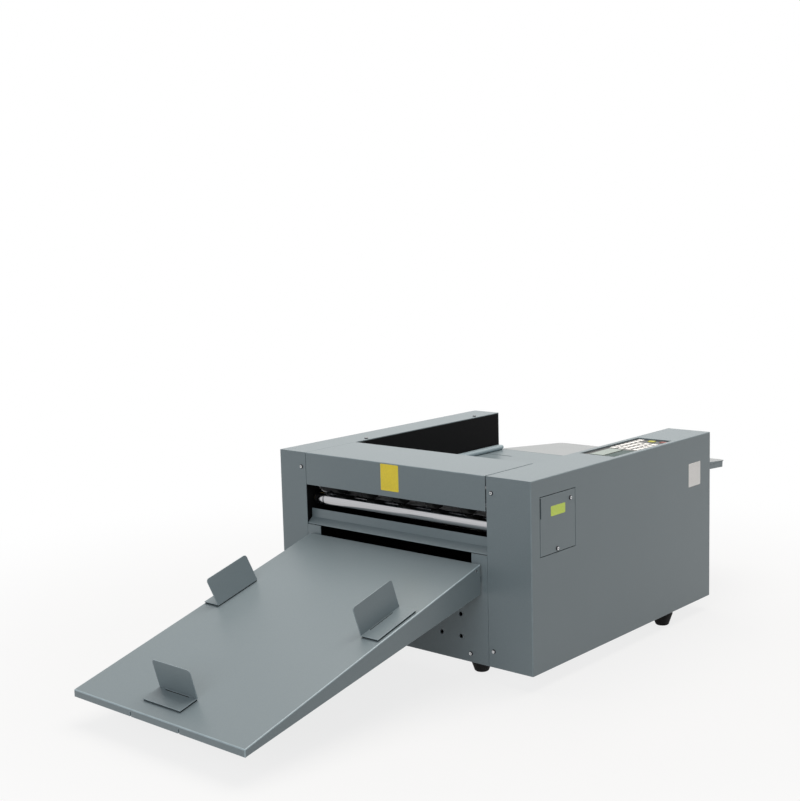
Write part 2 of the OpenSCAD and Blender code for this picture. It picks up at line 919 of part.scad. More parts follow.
module exit_wheels() {
    color([0.07, 0.07, 0.07]) place()
        for (k = [0 : wheel_n - 1])
            tyre(mid_x + (k - (wheel_n - 1) / 2) * wheel_pitch, exit_y, wheel_z, wheel_r, wheel_w);
}

module gear_on(z, n, turn) {
    difference() {
        translate([0, exit_y, z])
            along_x(frame_l0 - gear_off - gear_w, frame_l0 - gear_off) spur_gear(n, turn);
        rod_x(frame_l0 - gear_off - gear_w - eps, frame_l0 - gear_off + eps, exit_y, z, shaft_r);
    }
}

// At rest a tooth of the lower gear points straight up into a gap of the upper one
module exit_gear() {
    color("goldenrod") place() gear_on(wheel_z, gear_n2, 0.5 - gear_n2 / 4);
}

module exit_roller_gear() {
    color("goldenrod") place() gear_on(roller_z, gear_n1, gear_n1 / 4);
}

module perforating_wheel() {
    step = 360 / perf_n;
    root_r = perf_r - perf_cut;
    tooth = [[perf_r, 0], [perf_r, perf_land], [root_r, perf_gap0], [root_r, perf_gap1]];
    color("whitesmoke") place() difference() {
        translate([0, exit_y, wheel_z]) {
            along_x(perf_x - perf_t / 2, perf_x + perf_t / 2)
                polygon([for (i = [0 : perf_n - 1], c = tooth)
                    c[0] * [cos((i + c[1]) * step), sin((i + c[1]) * step)]]);
            rod_x(perf_x - perf_hub_w / 2, perf_x + perf_hub_w / 2, 0, 0, perf_hub_r);
        }
        rod_x(perf_x - perf_hub_w, perf_x + perf_hub_w, exit_y, wheel_z, shaft_r);
    }
}

// Roller between the frames with a journal at each end
module journal_roller(y, z, r, x0, x1) {
    rod_x(mouth_l + roller_end, mouth_r - roller_end, y, z, r);
    rod_x(x0, x1, y, z, shaft_r);
}

module exit_roller() {
    color("silver") place() difference() {
        journal_roller(exit_y, roller_z, roller_r, frame_l0 - gear_off - gear_w - shaft_play,
            frame_r1 + belt_off + pulley_w + shaft_play);
        difference() {
            rod_x(perf_x - perf_groove / 2, perf_x + perf_groove / 2, exit_y, roller_z, roller_r + eps);
            rod_x(perf_x - perf_groove, perf_x + perf_groove, exit_y, roller_z,
                roller_r - (perf_r - wheel_r) - perf_t);
        }
    }
}

module exit_roller_pulley() {
    color("gainsboro") place() pulley(frame_r1 + belt_off, exit_y, roller_z);
}

module transport_roller() {
    color("silver") place()
        journal_roller(trans_y, roller_z, roller_r, frame_l0 - shaft_over,
            frame_r1 + belt_off + pulley_w + shaft_play);
}

module transport_pulley() {
    color("gainsboro") place() pulley(frame_r1 + belt_off, trans_y, roller_z);
}

module pinch_roller() {
    color([0.15, 0.15, 0.15]) place()
        journal_roller(trans_y, pinch_z, pinch_r, frame_l0 - shaft_over, frame_r1 + shaft_over);
}

// Outline round the three pulleys at a given radius
module belt_line(r) {
    hull()
        for (p = [[exit_y, roller_z], [trans_y, roller_z], [drive_y, drive_z]])
            translate(p) circle(r, $fn = 32);
}

module drive_belt() {
    x0 = frame_r1 + belt_off + pulley_flange + belt_air;
    x1 = frame_r1 + belt_off + pulley_w - pulley_flange - belt_air;
    color([0.12, 0.12, 0.12]) place() along_x(x0, x1) difference() {
        belt_line(pulley_r + belt_air + belt_t);
        belt_line(pulley_r + belt_air);
    }
}

module drive_motor() {
    color("dimgray") place() motor(frame_r0 - motor_len, frame_r0, drive_y, drive_z, motor_w, shaft_r + run);
}

module drive_motor_pulley() {
    color("gainsboro") place() {
        rod_x(frame_r0 - step_grip, frame_r1 + belt_off + pulley_w, drive_y, drive_z, shaft_r);
        pulley(frame_r1 + belt_off, drive_y, drive_z);
    }
}

// Flanged bush in a side frame; s is the side that its flange faces
module bush(x0, s, y, z) {
    x_out = s < 0 ? x0 - bush_flange : x0 + frame_t;
    difference() {
        union() {
            rod_x(x0, x0 + frame_t, y, z, bush_r);
            rod_x(x_out, x_out + bush_flange, y, z, bush_r + bush_flange);
        }
        rod_x(x0 - frame_t, x0 + 2 * frame_t, y, z, shaft_r + run);
    }
}

module shaft_bushes() {
    color("goldenrod") place() for (p = SHAFTS) {
        bush(frame_l0, -1, p[0], p[1]);
        bush(frame_r0, 1, p[0], p[1]);
    }
}

// Covers

module front_cover() {
    x0 = mouth_l + cover_seam;
    x1 = mouth_r - cover_gap;
    color("slategray") place() difference() {
        union() {
            block(x0, x1, 0, sheet, cover_z, body_h);
            block(x0, x1, 0, cover_d, top_in, body_h);
            block(x0, x1, 0, cover_lip, cover_z, cover_z + sheet);
            for (x = [x0, x1 - sheet]) block(x, x + sheet, 0, cover_d, body_h - cheek_h, body_h);
        }
        rod_x(x0 - eps, x1 + eps, hinge_y, hinge_z, hinge_r);
    }
}

module cover_hinge_pins() {
    color("silver") place() {
        rod_x(frame_l0 + bar_end, mouth_l + cover_seam + pin_over, hinge_y, hinge_z, hinge_r);
        rod_x(mouth_r - cover_gap - pin_over, frame_r1 - bar_end, hinge_y, hinge_z, hinge_r);
    }
}

module access_door() {
    top = door_z + door_h;
    color("slategray") place() difference() {
        union() {
            block(side_in, body_w / 2, door_y, door_y + door_len, door_z, top);
            block(side_in - lip_d, side_in + eps, door_y + finger_w, door_y + finger_w + sheet,
                top - finger_h, top - sheet);
            for (z = [door_z + sheet, top - sheet - knuckle_h])
                rod_z(door_axis_x, door_axis_y, z, z + knuckle_h, knuckle_r);
        }
        block(side_in - eps, body_w / 2 + eps, door_y - eps, door_y + finger_w, top - finger_h, top - sheet);
        rod_z(door_axis_x, door_axis_y, door_z - eps, top + eps, pin_r + run);
        at_side(DOOR_SCREWS, 1) screw_hole();
    }
}

// The door's pin, with the tab at each end that holds it behind the casing
module door_hinge_pin() {
    low = door_z - door_seam - tab_h;
    high = door_z + door_h + door_seam;
    color("silver") place() {
        rod_z(door_axis_x, door_axis_y, low, high + tab_h, pin_r);
        for (z = [low, high])
            block(door_axis_x - knuckle_r, side_in, door_axis_y - knuckle_r, door_axis_y + knuckle_r,
                z, z + tab_h);
    }
}

module door_screws() {
    color("white") place() at_side(DOOR_SCREWS, 1) pan_screw();
}

module cover_screws() {
    color("white") place() {
        at_front(FRONT_SCREWS) pan_screw();
        at_front(PANEL_SCREWS) pan_screw();
        at_top(TOP_SCREWS) pan_screw();
        at_side(LEFT_SCREWS, -1) pan_screw();
    }
}

// Delivery tray

module delivery_tray() {
    x0 = mid_x - tray_w / 2;
    x1 = mid_x + tray_w / 2;
    color("slategray") place() difference() {
        union() {
            along_x(x0, x1) polygon([[-tray_gap, tray_z], [tray_y1, tray_z1], [tray_y1, tray_z1 - tray_drop],
                [-tray_gap, tray_z - tray_drop]]);
            for (x = [x0, x1 - sheet]) along_x(x, x + sheet) polygon([[-tray_gap, tray_z], [tray_y1, tray_z1],
                [tray_y1, lip_z], [-tray_gap, tray_z - skirt_in]]);
            block(x0, x1, tray_y1, tray_y1 + sheet, lip_z, tray_z1 - tray_drop / 2);
        }
        rod_x(x0 - eps, x1 + eps, -pivot_y, pivot_z, pivot_r + run);
        for (s = [-1, 1])
            block(mid_x + s * lip_slot_x - lip_slot_w / 2, mid_x + s * lip_slot_x + lip_slot_w / 2,
                tray_y1 - eps, tray_y1 + sheet + eps, lip_z - eps, lip_z + lip_slot_h);
    }
}

// Brackets on the lower front panel; each ends in the pin that the tray turns on
module tray_brackets() {
    color("silver") place() for (s = [-1, 1]) {
        x = mid_x + s * (bracket_x + bracket_t / 2);
        block(x - bracket_t / 2, x + bracket_t / 2, -pivot_y - bracket_r, -pivot_y + bracket_r,
            bracket_low, pivot_z);
        block(x - bracket_t / 2, x + bracket_t / 2, -pivot_y - bracket_r, 0,
            bracket_low, bracket_low + bracket_step);
        rod_x(x - bracket_t / 2, x + bracket_t / 2, -pivot_y, pivot_z, bracket_r);
        rod_x(x - pin_reach, x + pin_reach, -pivot_y, pivot_z, pivot_r);
    }
}

// Place on the tray's top: along is measured from the front edge, x from the tray's middle
module on_tray(x, along) {
    translate([mid_x + x, tray_y1 + along * cos(tray_slope), tray_z1 + along * sin(tray_slope)])
        rotate([tray_slope, 0, 0]) children();
}

// Bent sheet stop on a magnet pad: its upright leans over the foot towards -Y, with a slot along the fold
module sheet_stop(len, h, lean) {
    base_z = stop_lift + magnet_t;
    foot_z = base_z + stop_t;
    top = [stop_t, base_z] + (h + stop_t) * [-sin(lean), cos(lean)];
    fold_y = stop_t * (1 - cos(lean) - (1 + sin(lean)) * tan(lean));
    difference() {
        union() {
            intersection() {
                along_x(-len, len)
                    polygon([[-stop_foot, base_z], [stop_t, base_z], top,
                        top - stop_t * [cos(lean), sin(lean)], [fold_y, foot_z], [-stop_foot, foot_z]]);
                translate([0, stop_t, base_z]) rotate([90 + lean, 0, 0]) translate([0, -stop_foot, -stop_t])
                    linear_extrude(2 * stop_foot) far_rounded(len, h + stop_foot, stop_corner);
            }
            block(-len / 2 + magnet_in, len / 2 - magnet_in, -stop_foot + magnet_in, 0,
                stop_lift, base_z + eps);
        }
        block(-slot_len / 2, slot_len / 2, fold_y - slot_in - slot_w, fold_y - slot_in,
            base_z, foot_z + eps);
    }
}

module end_stop() {
    color("slategray") place() on_tray(end_stop_x, end_stop_at) sheet_stop(stop_len, stop_h, 0);
}

module left_guide() {
    color("slategray") place()
        on_tray(-tray_w / 2 + left_guide_in, left_guide_at + tray_guide_len / 2) rotate(-90)
            sheet_stop(tray_guide_len, tray_guide_h, left_guide_lean);
}

module right_guide() {
    color("slategray") place()
        on_tray(tray_w / 2 - right_guide_in, right_guide_at + tray_guide_len / 2) rotate(90)
            sheet_stop(tray_guide_len, tray_guide_h, -right_guide_lean);
}

// Controls and electrics

module button_hole(s) {
    w = button_w / 2 + air;
    d = button_d / 2 + air;
    block(button_mid(s) - w, button_mid(s) + w, button_y - d, button_y + d, ctl_z - ctl_t - eps, ctl_z + eps);
}

module control_panel() {
    color([0.2, 0.22, 0.22]) place() difference() {
        block(ctl_x - ctl_w / 2 - ctl_rim, ctl_x + ctl_w / 2 + ctl_rim, ctl_y - ctl_rim,
            ctl_y + ctl_len + ctl_rim, ctl_z - ctl_t, top_in);
        block(ctl_x - ctl_w / 2, ctl_x + ctl_w / 2, ctl_y, ctl_y + ctl_len, ctl_z, body_h);
        button_hole(-1);
        button_hole(1);
    }
}

module display_window() {
    color([0.55, 0.7, 0.6]) place()
        block(ctl_x - disp_off - disp_w / 2, ctl_x - disp_off + disp_w / 2, disp_y, disp_y + disp_len,
            ctl_z, ctl_z + key_up);
}

// One key of the field, by its column and row
module key(i, j) {
    translate([ctl_x + (i - (key_cols - 1) / 2) * key_step - key_w / 2, key_y + j * key_step, ctl_z])
        cube([key_w, key_d, key_up]);
}

module keypad() {
    color("white") place() {
        for (i = [0 : key_cols - 1], j = [0 : key_rows - 1]) key(i, j);
        for (j = [key_rows : key_rows + key_extra - 1]) key(0, j);
    }
}

// Push button with a wider foot that keeps it behind the panel
module push_button(s) {
    x = button_mid(s);
    block(x - button_w / 2, x + button_w / 2, button_y - button_d / 2, button_y + button_d / 2,
        ctl_z - ctl_t - seat_air - sheet, ctl_z + button_up);
    block(x - button_w / 2 - sheet, x + button_w / 2 + sheet, button_y - button_d / 2 - sheet,
        button_y + button_d / 2 + sheet, ctl_z - ctl_t - seat_air - sheet, ctl_z - ctl_t - seat_air);
}

module start_button() {
    color("gold") place() push_button(-1);
}

module stop_button() {
    color("firebrick") place() push_button(1);
}

module circuit_board() {
    x0 = frame_r1 + board_off;
    color("darkgreen") place() {
        block(x0, x0 + sheet, board_y, board_y + board_len, board_z, board_z + board_h);
        for (y = [board_y + post_in, board_y + board_len - post_in],
            z = [board_z + post_in, board_z + board_h - post_in])
            rod_x(frame_r1, x0, y, z, shaft_r / 2);
        for (k = [0 : chip_n - 1])
            block(x0 + sheet, x0 + sheet + chip_t, board_y + chip_in + k * chip_step,
                board_y + chip_in + k * chip_step + chip_w, board_z + chip_in, board_z + chip_in + chip_h);
    }
}

module power_supply() {
    color("silver") place()
        block(mid_x - supply_w / 2, mid_x + supply_w / 2, supply_y, supply_y + supply_d,
            base_t, base_t + supply_h);
}

// Box of [width, depth behind the back face, height] around the inlet's middle, standing out by out
module inlet_box(size, out) {
    block(ctl_x - size[0] / 2, ctl_x + size[0] / 2, body_d - size[1], body_d + out,
        inlet_z - size[2] / 2, inlet_z + size[2] / 2);
}

// Plate on the back with the mains inlet and the cheeks that carry the switch
module power_inlet() {
    color([0.08, 0.08, 0.08]) place() difference() {
        union() {
            block(ctl_x - inlet_w / 2, ctl_x + inlet_w / 2, body_d, body_d + inlet_t,
                inlet_z - inlet_h / 2, switch_z + switch_h / 2 + inlet_top);
            inlet_box(inlet_shell, eps);
            for (s = [-1, 1]) translate([ctl_x + s * pivot_cheek_x, 0, switch_z])
                block(-pivot_cheek_t / 2, pivot_cheek_t / 2, body_d - pivot_cheek_in, body_d + eps,
                    -pivot_cheek_h / 2, pivot_cheek_h / 2);
        }
        inlet_box(inlet_bore, inlet_t + eps);
        block(ctl_x - switch_w / 2 - air, ctl_x + switch_w / 2 + air, body_d - eps, body_d + inlet_t + eps,
            switch_z - switch_h / 2, switch_z + switch_h / 2);
        rod_x(ctl_x - inlet_w / 2, ctl_x + inlet_w / 2, body_d - switch_in, switch_z, switch_pin + run);
    }
}

// Rocker: a round block on its pivot, cut by two planes so that one half stands out
module power_switch() {
    color([0.5, 0.05, 0.05]) place() translate([ctl_x, body_d - switch_in, switch_z]) {
        difference() {
            rod_x(-switch_w / 2, switch_w / 2, 0, 0, switch_r);
            for (s = [-1, 1]) rotate([s * switch_tilt + switch_tilt, 0, 0])
                block(-switch_w, switch_w, switch_face, 2 * switch_r,
                    s < 0 ? -2 * switch_r : 0, s < 0 ? 0 : 2 * switch_r);
            block(-switch_w, switch_w, -2 * switch_r, -switch_pin - 1, -2 * switch_r, 2 * switch_r);
        }
        rod_x(-pivot_len / 2, pivot_len / 2, 0, 0, switch_pin);
    }
}

module rubber_feet() {
    color([0.05, 0.05, 0.05]) place()
        for (s = [-1, 1], p = [foot_front, foot_rear]) translate([s * p[0], p[1], -foot_h]) rotate_extrude()
            polygon([[0, 0], [foot_low_r - foot_edge, 0], [foot_low_r, foot_edge],
                [foot_r, foot_h - foot_flare], [foot_r, foot_h], [0, foot_h]]);
}

base_plate();
left_side_frame();
right_side_frame();
left_housing();
right_housing();
inner_panels();
lower_front_panel();
rear_panel();
feed_deck();
feed_table();
left_side_guide();
right_side_guide();
feed_gate();
separator_pad();
feed_shaft();
feed_wheels();
feed_motor();
exit_chute();
crease_die();
crease_knife_bar();
crease_blade();
return_springs();
cam_shaft();
cams();
crease_motor();
exit_shaft();
exit_wheels();
exit_gear();
perforating_wheel();
exit_roller();
exit_roller_gear();
exit_roller_pulley();
transport_roller();
transport_pulley();
pinch_roller();
drive_belt();
drive_motor();
drive_motor_pulley();
shaft_bushes();
front_cover();
cover_hinge_pins();
access_door();
door_hinge_pin();
door_screws();
cover_screws();
delivery_tray();
tray_brackets();
end_stop();
left_guide();
right_guide();
control_panel();
display_window();
keypad();
start_button();
stop_button();
circuit_board();
power_supply();
power_inlet();
power_switch();
rubber_feet();
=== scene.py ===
"""Looks of the desktop creasing and perforating machine: sheet metal with rounded folds, procedural
finishes, blank labels, and a pale floor with soft studio light."""
import json
import math

import bmesh
import bpy
from mathutils import Matrix, Vector

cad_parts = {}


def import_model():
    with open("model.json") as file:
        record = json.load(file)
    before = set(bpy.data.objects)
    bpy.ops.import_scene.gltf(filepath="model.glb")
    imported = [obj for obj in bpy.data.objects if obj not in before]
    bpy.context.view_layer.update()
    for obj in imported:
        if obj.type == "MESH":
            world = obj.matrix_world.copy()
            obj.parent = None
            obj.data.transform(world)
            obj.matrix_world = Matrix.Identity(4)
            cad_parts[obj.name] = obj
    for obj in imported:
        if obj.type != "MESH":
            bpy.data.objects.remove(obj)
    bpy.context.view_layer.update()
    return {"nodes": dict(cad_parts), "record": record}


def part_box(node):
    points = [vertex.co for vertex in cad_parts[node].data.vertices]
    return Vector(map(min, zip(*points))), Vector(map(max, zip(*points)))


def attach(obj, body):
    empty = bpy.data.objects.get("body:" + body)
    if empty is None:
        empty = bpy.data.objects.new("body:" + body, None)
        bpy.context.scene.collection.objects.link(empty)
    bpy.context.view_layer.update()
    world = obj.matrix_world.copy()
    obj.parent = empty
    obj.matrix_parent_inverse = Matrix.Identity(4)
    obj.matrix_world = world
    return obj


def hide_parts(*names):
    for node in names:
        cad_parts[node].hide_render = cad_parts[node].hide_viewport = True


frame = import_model()

MM = 0.001
NODES = frame["nodes"]
BEHAVIOUR = frame["record"]["behaviour"]
BODY_OF = {node: body for body, nodes in BEHAVIOUR["bodies"].items() for node in nodes}
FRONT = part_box("lower_front_panel")[0].y
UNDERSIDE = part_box("base_plate")[0].z


def at(x, y, z):
    """Point in the row frame, from mm across the body's middle, behind its front and over its underside."""
    return Vector((x * MM, FRONT + y * MM, UNDERSIDE + z * MM))


# Finishes

def grey(value):
    return (value, value, value)


def shade(colour, factor):
    return tuple(min(1.0, c * factor) for c in colour)


class Finish:
    """A procedural material, built one texture at a time in the object's own coordinates."""

    def __init__(self, name, roughness=0.5, metallic=0.0, **sockets):
        self.material = bpy.data.materials.new(name)
        self.material.use_nodes = True
        self.tree = self.material.node_tree
        self.shader = self.tree.nodes["Principled BSDF"]
        self.shader.inputs["Roughness"].default_value = roughness
        self.shader.inputs["Metallic"].default_value = metallic
        for socket, value in sockets.items():
            self.shader.inputs[socket.replace("_", " ")].default_value = value
        self.place = self.tree.nodes.new("ShaderNodeTexCoord").outputs["Object"]
        self.normal = None

    def link(self, output, target):
        self.tree.links.new(output, target)

    def stretched(self, scale):
        """Coordinates scaled differently along each axis, for brushed and ground metal."""
        node = self.tree.nodes.new("ShaderNodeMapping")
        node.inputs["Scale"].default_value = scale
        self.link(self.place, node.inputs["Vector"])
        return node.outputs["Vector"]

    def noise(self, scale, detail=3.0, place=None):
        node = self.tree.nodes.new("ShaderNodeTexNoise")
        node.inputs["Scale"].default_value = scale
        node.inputs["Detail"].default_value = detail
        self.link(place or self.place, node.inputs["Vector"])
        return node.outputs["Fac"]

    def ramp(self, factor, low, high, start=0.3, end=0.7):
        node = self.tree.nodes.new("ShaderNodeValToRGB")
        for stop, place, colour in zip(node.color_ramp.elements, (start, end), (low, high)):
            stop.position = place
            stop.color = (*colour, 1.0)
        self.link(factor, node.inputs["Fac"])
        return node.outputs["Color"]

    def mixed(self, first, second):
        node = self.tree.nodes.new("ShaderNodeMix")
        node.data_type = "RGBA"
        self.link(first, node.inputs["A"])
        self.link(second, node.inputs["B"])
        return node

    def times(self, first, second):
        node = self.mixed(first, second)
        node.blend_type = "MULTIPLY"
        node.inputs["Factor"].default_value = 1.0
        return node.outputs["Result"]

    def mix(self, factor, first, second):
        node = self.mixed(first, second)
        self.link(factor, node.inputs["Factor"])
        return node.outputs["Result"]

    def colour(self, output):
        self.link(output, self.shader.inputs["Base Color"])

    def rough(self, factor, low, high):
        node = self.tree.nodes.new("ShaderNodeMapRange")
        node.inputs["From Min"].default_value = 0.3
        node.inputs["From Max"].default_value = 0.7
        node.inputs["To Min"].default_value = low
        node.inputs["To Max"].default_value = high
        self.link(factor, node.inputs["Value"])
        self.link(node.outputs["Result"], self.shader.inputs["Roughness"])

    def bump(self, height, depth, strength):
        node = self.tree.nodes.new("ShaderNodeBump")
        node.inputs["Distance"].default_value = depth * MM
        node.inputs["Strength"].default_value = strength
        self.link(height, node.inputs["Height"])
        if self.normal:
            self.link(self.normal, node.inputs["Normal"])
        self.normal = node.outputs["Normal"]
        self.link(self.normal, self.shader.inputs["Normal"])


def painted(name, colour, low, high, **sockets):
    """Fine textured powder coat, a little uneven in tone."""
    finish = Finish(name, **sockets)
    speckle = finish.ramp(finish.noise(1300, 4), shade(colour, 0.93), shade(colour, 1.06))
    cloud = finish.ramp(finish.noise(9, 4), grey(0.98), grey(1.0))
    finish.colour(finish.times(speckle, cloud))
    finish.rough(finish.noise(420, 4), low, high)
    finish.bump(finish.noise(1500, 2), 0.12, 0.25)
    return finish.material


def worn_fold_with_highlight(name, colour, highlight_lift):
    """The same coat on a fold, made lighter as a painted highlight along the fold, and faintly mottled by
    rubbing.
    """
    finish = Finish(name)
    coat = finish.ramp(finish.noise(1300, 4), shade(colour, 0.92 * highlight_lift), shade(colour, 1.08 * highlight_lift))
    rub = finish.ramp(finish.noise(60, 5), grey(0.85), grey(1.0))
    finish.colour(finish.times(coat, rub))
    finish.rough(finish.noise(120, 4), 0.36, 0.46)
    finish.bump(finish.noise(1100, 3), 0.1, 0.25)
    return finish.material


def metal(name, colour, low, high, along=(6.0, 900.0, 900.0)):
    """Ground or drawn metal with fine lines along its length."""
    finish = Finish(name, metallic=1.0)
    lines = finish.noise(1.0, 4, finish.stretched(along))
    finish.colour(finish.ramp(lines, shade(colour, 0.84), colour))
    finish.rough(finish.noise(70, 5), low, high)
    finish.bump(lines, 0.04, 0.2)
    return finish.material


def rubber(name, colour):
    """Matt rubber with a fine skin and a trace of dust."""
    finish = Finish(name, Specular_IOR_Level=0.12)
    skin = finish.ramp(finish.noise(700, 4), shade(colour, 0.75), shade(colour, 1.25))
    dusty = tuple(c + 0.045 for c in colour)
    dust = finish.ramp(finish.noise(160, 6), dusty, shade(dusty, 1.3))
    amount = finish.ramp(finish.noise(40, 5), grey(0.0), grey(0.35), 0.45, 0.8)
    finish.colour(finish.mix(amount, skin, dust))
    finish.rough(finish.noise(90, 4), 0.62, 0.8)
    finish.bump(finish.noise(800, 3), 0.15, 0.4)
    return finish.material


def plastic(name, colour, low, high, grain=1400, depth=0.06):
    """Moulded plastic with a fine grain."""
    finish = Finish(name)
    tone = finish.ramp(finish.noise(900, 3), shade(colour, 0.93), shade(colour, 1.06))
    cloud = finish.ramp(finish.noise(22, 3), grey(0.95), grey(1.0))
    finish.colour(finish.times(tone, cloud))
    finish.rough(finish.noise(60, 4), low, high)
    finish.bump(finish.noise(grain, 2), depth, 0.3)
    return finish.material


def label(name, colour, **sockets):
    """Blank printed film, faintly uneven, with a soft sheen."""
    finish = Finish(name, **sockets)
    ink = finish.ramp(finish.noise(420, 4), shade(colour, 0.94), shade(colour, 1.04))
    fade = finish.ramp(finish.noise(30, 3), grey(0.94), grey(1.0))
    finish.colour(finish.times(ink, fade))
    finish.rough(finish.noise(80, 3), 0.32, 0.45)
    finish.bump(finish.noise(260, 3), 0.05, 0.2)
    return finish.material


EVEN_GRAIN = (160.0, 160.0, 160.0)
GREY = (0.177, 0.222, 0.243)
PALE = (0.302, 0.326, 0.337)
BLACK = (0.004, 0.004, 0.0045)
FINISHES = {
    "grey_paint": painted("grey_paint", GREY, 0.33, 0.38),
    "pale_paint": painted("pale_paint", PALE, 0.4, 0.45),
    "guide_paint": painted("guide_paint", shade(GREY, 2.0), 0.33, 0.38),
    "black_paint": painted("black_paint", BLACK, 0.55, 0.65, Specular_IOR_Level=0.08),
    "steel": metal("steel", (0.56, 0.56, 0.57), 0.26, 0.4),
    "zinc": metal("zinc", (0.42, 0.43, 0.44), 0.18, 0.3, EVEN_GRAIN),
    "chrome": metal("chrome", (0.5, 0.5, 0.515), 0.1, 0.18),
    "brass": metal("brass", (0.7, 0.5, 0.2), 0.28, 0.4),
    "black_rubber": rubber("black_rubber", (0.012, 0.012, 0.012)),
    "pad_rubber": rubber("pad_rubber", (0.16, 0.05, 0.04)),
    "motor_metal": painted("motor_metal", (0.05, 0.05, 0.053), 0.45, 0.6),
    "panel_plastic": plastic("panel_plastic", (0.06, 0.062, 0.06), 0.3, 0.42),
    "display": plastic("display", (0.2, 0.27, 0.22), 0.1, 0.16, 300, 0.01),
    "key_white": plastic("key_white", (0.88, 0.88, 0.86), 0.38, 0.5),
    "key_yellow": plastic("key_yellow", (0.56, 0.54, 0.07), 0.36, 0.48),
    "key_red": plastic("key_red", (0.24, 0.05, 0.035), 0.36, 0.48),
    "board": plastic("board", (0.012, 0.09, 0.035), 0.35, 0.5, 500, 0.1),
    "black_plastic": plastic("black_plastic", (0.012, 0.012, 0.013), 0.4, 0.55),
}
# Folds and cut edges in a lighter copy of each paint: a painted highlight along every rounded edge.
EDGES = {
    "grey_paint": worn_fold_with_highlight("grey_paint_fold_highlight", GREY, 1.25),
    "pale_paint": worn_fold_with_highlight("pale_paint_fold_highlight", PALE, 1.3),
    "black_paint": worn_fold_with_highlight("black_paint_fold_highlight", BLACK, 2.0),
}
# The tray's and its stops' edges in a much lighter grey: a stronger painted highlight along their folds.
TRAY_EDGE_HIGHLIGHT = worn_fold_with_highlight("tray_edge_highlight", GREY, 2.0)
SLOT_OF = {node: obj.data.materials[0].name.split(".")[0] for node, obj in NODES.items()}
for node, obj in NODES.items():
    obj.material_slots[0].material = FINISHES[SLOT_OF[node]]


# Sheet metal and mouldings: copies of the solids with their edges rounded

# Faces that meet at more than SHARP have an edge between them, and at less than FLAT they are one face
SHARP = math.radians(40)
FLAT = math.radians(1)
# An edge between two faces over FOLD_AREA is a fold, and a face over FLAT_AREA is shaded flat
FOLD_AREA = 2500 * MM * MM
FLAT_AREA = 250 * MM * MM
WELD = 0.001 * MM
# Radii in mm, and the number of strips that make them
FOLD_RADIUS = 1.4
EDGE_RADIUS = 0.4
FOLD_STRIPS = 4
EDGE_STRIPS = 2


def shown(mesh, name, body, slot):
    piece = bpy.data.objects.new(name, mesh)
    bpy.context.scene.collection.objects.link(piece)
    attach(piece, body)
    return piece


def weighted(mesh):
    """Normals that keep the large faces flat and let the rounded edges run smoothly into them."""
    pull = [Vector() for _ in mesh.vertices]
    for face in mesh.polygons:
        face.use_smooth = True
        for vert in face.vertices:
            pull[vert] += face.normal * face.area
    normals = []
    for face in mesh.polygons:
        for vert in face.vertices:
            soft = pull[vert].normalized()
            keep = face.area > FLAT_AREA or soft.dot(face.normal) < math.cos(SHARP)
            normals.append(face.normal if keep else soft)
    mesh.normals_split_custom_set(normals)
    return mesh


def merge_flat(bm):
    """Joins flat neighbours across their longest edges first, so that only cuts beside holes are left."""
    for edge in sorted(bm.edges, key=lambda e: -e.calc_length()):
        if edge.is_valid and len(edge.link_faces) == 2 and edge.calc_face_angle() < FLAT:
            bmesh.utils.face_join(list(edge.link_faces))
    bmesh.ops.dissolve_limit(bm, angle_limit=FLAT, verts=bm.verts, edges=bm.edges)


def convex_edges(bm):
    return [e for e in bm.edges if len(e.link_faces) == 2 and e.is_convex and e.calc_face_angle() > SHARP]


def round_edges(bm, edges, radius, strips, finish=0):
    """Rounds the edges and gives their new faces one of the mesh's finishes."""
    made = bmesh.ops.bevel(bm, geom=edges, offset=radius * MM, offset_type="OFFSET", segments=strips,
                           profile=0.5, affect="EDGES", clamp_overlap=False)
    for face in made["faces"]:
        face.material_index = finish


def copy_of(node, *finishes):
    """A solid's mesh with finishes of its own, and its welded faces to work on."""
    mesh = NODES[node].data.copy()
    mesh.materials.clear()
    for finish in finishes:
        mesh.materials.append(finish)
    bm = bmesh.new()
    bm.from_mesh(mesh)
    bmesh.ops.remove_doubles(bm, verts=bm.verts, dist=WELD)
    return mesh, bm


def show_for(node, mesh, bm):
    """Shows the reworked mesh in the solid's place."""
    bm.to_mesh(mesh)
    bm.free()
    piece = shown(weighted(mesh), node + "_finished", BODY_OF[node], SLOT_OF[node])
    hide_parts(node)


def rounded(node, fold=FOLD_RADIUS, edge=EDGE_RADIUS, paint=None, edge_finish=None, marks=None,
            mark_finish=None):
    """A copy of a solid: folds between its large faces get a wide radius, cut edges a small one, and the
    rounded faces take the edge finish, which for the paints is a lighter copy that paints a highlight on
    them.

    Faces for which marks(face) holds get the mark's finish instead."""
    paint = paint or SLOT_OF[node]
    edge_finish = edge_finish or EDGES.get(paint, FINISHES[paint])
    mesh, bm = copy_of(node, FINISHES[paint], edge_finish, *([mark_finish] if marks else []))
    merge_flat(bm)
    folds = [e for e in convex_edges(bm) if min(f.calc_area() for f in e.link_faces) > FOLD_AREA]
    if folds:
        round_edges(bm, folds, fold, FOLD_STRIPS, finish=1)
    round_edges(bm, convex_edges(bm), edge, EDGE_STRIPS, finish=1)
    for face in bm.faces:
        if marks and marks(face):
            face.material_index = 2
    show_for(node, mesh, bm)


TRAY_ALONG = Vector(next(j["axis"] for j in BEHAVIOUR["joints"] if j["name"] == "end_stop_slide"))
TRAY_UP = Vector((1, 0, 0)).cross(TRAY_ALONG)
MAGNET = 1.6 * MM
SLACK = 0.1 * MM


def magnet_of(node):
    """Tells a stop's magnet from its sheet: it is the lowest layer over the tray.

    At the height where the two meet, what looks up is the magnet's top."""
    low = min(TRAY_UP.dot(vert.co) for vert in NODES[node].data.vertices)

    def holds(face):
        height = TRAY_UP.dot(face.calc_center_median()) - low
        looks_up = face.normal.dot(TRAY_UP) > 0.5
        return height < MAGNET + (SLACK if looks_up else -SLACK)
    return holds


def upright(face):
    return abs(face.normal.z) < 0.5


